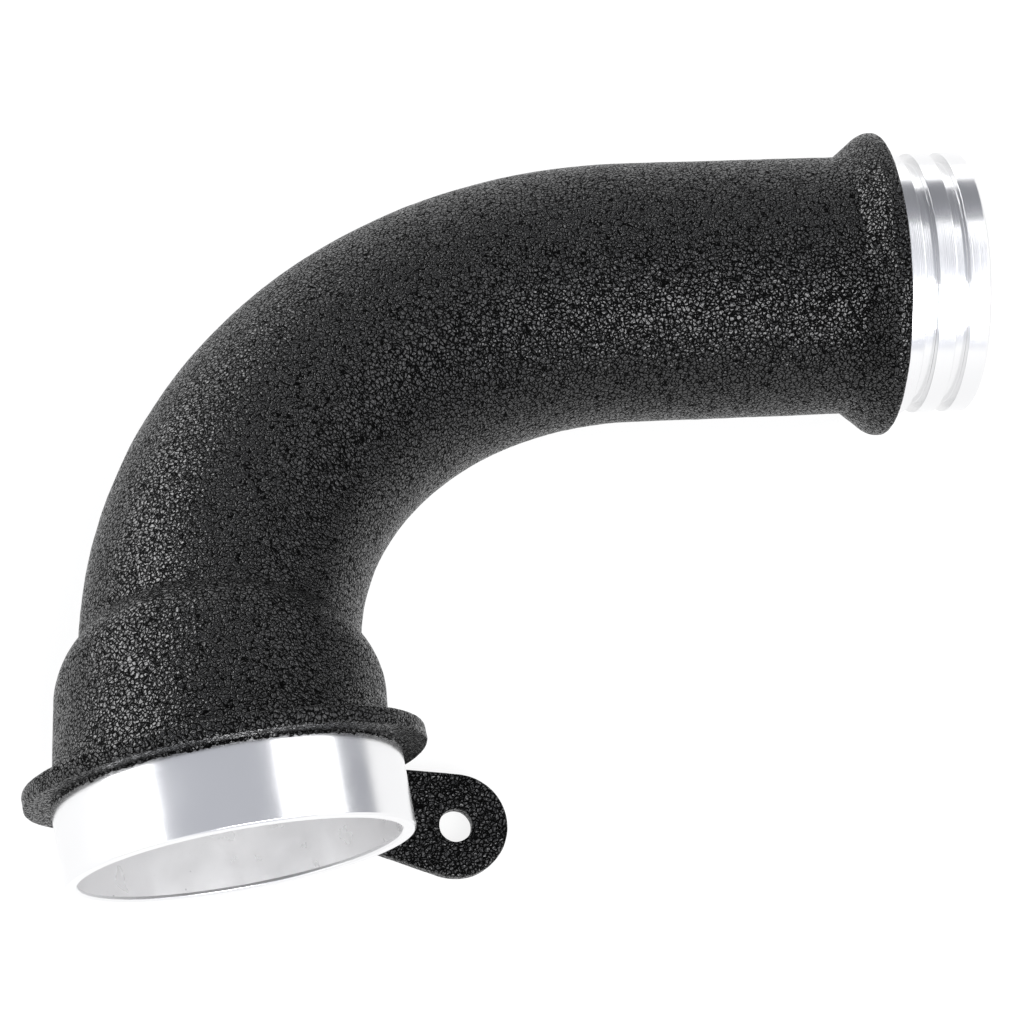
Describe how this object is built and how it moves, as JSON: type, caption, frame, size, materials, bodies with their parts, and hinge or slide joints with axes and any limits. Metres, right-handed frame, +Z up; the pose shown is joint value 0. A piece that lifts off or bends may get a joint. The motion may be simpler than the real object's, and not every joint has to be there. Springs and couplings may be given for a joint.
{
  "type": "turbo inlet pipe",
  "caption": "Bent cast inlet pipe for a turbocharger: a flanged hose spigot at the large end, a flared collar and a grooved spigot at the small end, and a flat mounting lug.",
  "frame": {"origin": "on the ground, under the middle of the pipe's bounding box", "axes": "the pipe lies on its back as it comes to rest: +Z up, +X towards the small end, +Y from the large end towards the bend"},
  "size_m": [0.2132, 0.1794, 0.0801],
  "materials": {
    "wrinkle_coat": "black wrinkle coat on cast aluminium, with both spigots machined bare"
  },
  "bodies": {
    "root": {"inlet_pipe": "wrinkle_coat"}
  },
  "joints": []
}
